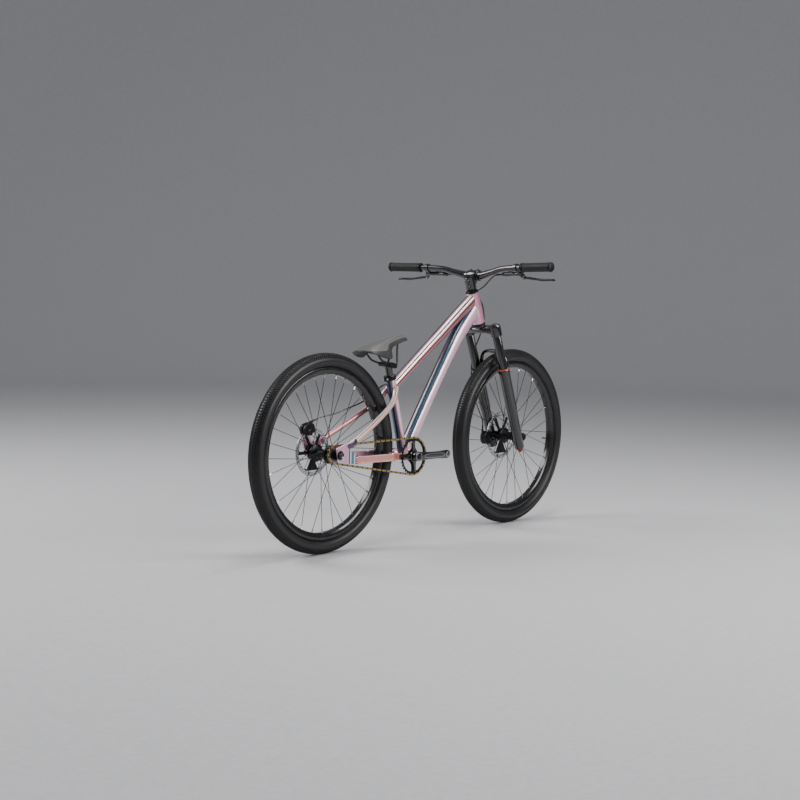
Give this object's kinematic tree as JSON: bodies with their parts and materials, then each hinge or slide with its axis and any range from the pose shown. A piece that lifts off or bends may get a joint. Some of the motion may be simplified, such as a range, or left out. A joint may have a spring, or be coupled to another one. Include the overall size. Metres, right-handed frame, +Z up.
{
  "type": "dirt jump bike",
  "caption": "Rigid-frame dirt jump bike with a suspension fork, 26 inch wheels, one gear and two disc brakes.",
  "frame": {"origin": "on the floor, midway between the two axles and in the bike's middle plane", "axes": "+X forward, +Y to the rider's left, +Z up"},
  "size_m": [1.705, 0.749, 0.9889],
  "materials": {
    "frame_paint": "colour-shifting gloss paint on aluminium: pale pink, rose and plum with teal and copper glints",
    "tyre_rubber": "matt black tread and satin side walls",
    "grip_rubber": "dark grey ribbed rubber",
    "satin_black": "satin black anodised aluminium",
    "spoke_black": "black coated steel wire",
    "gloss_black": "gloss black painted aluminium",
    "bare_steel": "bare brushed steel",
    "chain_steel": "gold-tinted steel chain",
    "bright_alloy": "polished dark silver aluminium",
    "red_alloy": "red anodised aluminium",
    "hose_black": "glossy black plastic hose",
    "saddle_cover": "satin warm grey synthetic leather"
  },
  "bodies": {
    "frame": {"head_tube": "frame_paint", "top_tube": "frame_paint", "down_tube": "frame_paint", "seat_tube": "frame_paint", "bb_shell": "frame_paint", "chainstay_right": "frame_paint", "chainstay_left": "frame_paint", "seatstay_right": "frame_paint", "seatstay_left": "frame_paint", "dropout_right": "frame_paint", "dropout_left": "frame_paint", "seat_clamp": "satin_black", "headset_lower_cup": "satin_black", "headset_upper_cup": "satin_black", "bb_cup_right": "satin_black", "bb_cup_left": "satin_black", "rear_axle": "satin_black", "rear_caliper": "satin_black", "rear_brake_hose": "hose_black", "chain": "chain_steel"},
    "seat": {"seatpost": "gloss_black", "saddle_clamp": "satin_black", "saddle_rails": "bare_steel", "saddle": "saddle_cover"},
    "rear_wheel": {"rear_tyre": "tyre_rubber", "rear_rim": "satin_black", "rear_hub": "satin_black", "rear_spokes_right": "spoke_black", "rear_spokes_left": "spoke_black", "rear_rotor": "bare_steel"},
    "cog": {"rear_cog": "bare_steel"},
    "crank": {"crank_axle": "bare_steel", "crank_arm_right": "gloss_black", "crank_arm_left": "gloss_black", "chainring": "satin_black"},
    "steering": {"fork_crown": "satin_black", "stanchion_right": "gloss_black", "stanchion_left": "gloss_black", "steering_spacer": "satin_black", "top_cap": "satin_black", "stem": "gloss_black", "stem_faceplate": "gloss_black", "handlebar": "gloss_black", "grip_right": "grip_rubber", "grip_left": "grip_rubber", "master_cylinder_right": "satin_black", "master_cylinder_left": "satin_black", "front_brake_hose": "hose_black"},
    "lever_right": {"brake_lever_right": "bright_alloy"},
    "lever_left": {"brake_lever_left": "bright_alloy"},
    "lowers": {"fork_lowers": "gloss_black", "front_axle": "satin_black", "front_caliper": "satin_black"},
    "front_wheel": {"front_tyre": "tyre_rubber", "front_rim": "satin_black", "front_hub": "satin_black", "front_spokes_right": "spoke_black", "front_spokes_left": "spoke_black", "front_rotor": "bare_steel"},
    "knob": {"rebound_knob": "red_alloy"}
  },
  "joints": [
    {"name": "steering", "type": "hinge", "parent": "frame", "child": "steering", "pos_m": [0.28577, 0, 0.82308], "axis": [-0.3584, 0, 0.9336], "range_deg": [-60, 60], "deforming": ["rear_brake_hose"]},
    {"name": "fork_travel", "type": "slide", "parent": "steering", "child": "lowers", "axis": [-0.3584, 0, 0.9336], "range_m": [0, 0.1], "stiffness_N_per_m": 4000, "springref_m": -0.05, "deforming": ["front_brake_hose"]},
    {"name": "front_wheel_spin", "type": "hinge", "parent": "lowers", "child": "front_wheel", "pos_m": [0.5185, 0, 0.334], "axis": [0, 1, 0], "continuous": true},
    {"name": "rear_wheel_spin", "type": "hinge", "parent": "frame", "child": "rear_wheel", "pos_m": [-0.5185, 0, 0.334], "axis": [0, 1, 0], "continuous": true},
    {"name": "crank_spin", "type": "hinge", "parent": "frame", "child": "crank", "pos_m": [-0.1125, 0, 0.302], "axis": [0, 1, 0], "continuous": true, "deforming": ["chain"]},
    {"name": "cog_spin", "type": "hinge", "parent": "frame", "child": "cog", "pos_m": [-0.5185, 0, 0.334], "axis": [0, 1, 0], "continuous": true},
    {"name": "brake_lever_left_pull", "type": "hinge", "parent": "steering", "child": "lever_left", "pos_m": [0.27636, 0.22387, 0.93624], "axis": [0.7962, 0.0774, 0.6], "range_deg": [0, 13], "stiffness_Nm_per_rad": 2, "springref_deg": -8.59},
    {"name": "brake_lever_right_pull", "type": "hinge", "parent": "steering", "child": "lever_right", "pos_m": [0.27636, -0.22387, 0.93624], "axis": [-0.7962, 0.0774, -0.6], "range_deg": [0, 13], "stiffness_Nm_per_rad": 2, "springref_deg": -8.59},
    {"name": "seatpost_height", "type": "slide", "parent": "frame", "child": "seat", "axis": [-0.274, 0, 0.9617], "range_m": [-0.015, 0.04]},
    {"name": "rebound_knob_turn", "type": "hinge", "parent": "lowers", "child": "knob", "pos_m": [0.50501, -0.063, 0.28544], "axis": [-0.3584, 0, 0.9336], "range_deg": [-270, 270]}
  ],
  "couplings": [
    {"joint": "cog_spin", "follows": "crank_spin", "ratio": 2.2857}
  ]
}
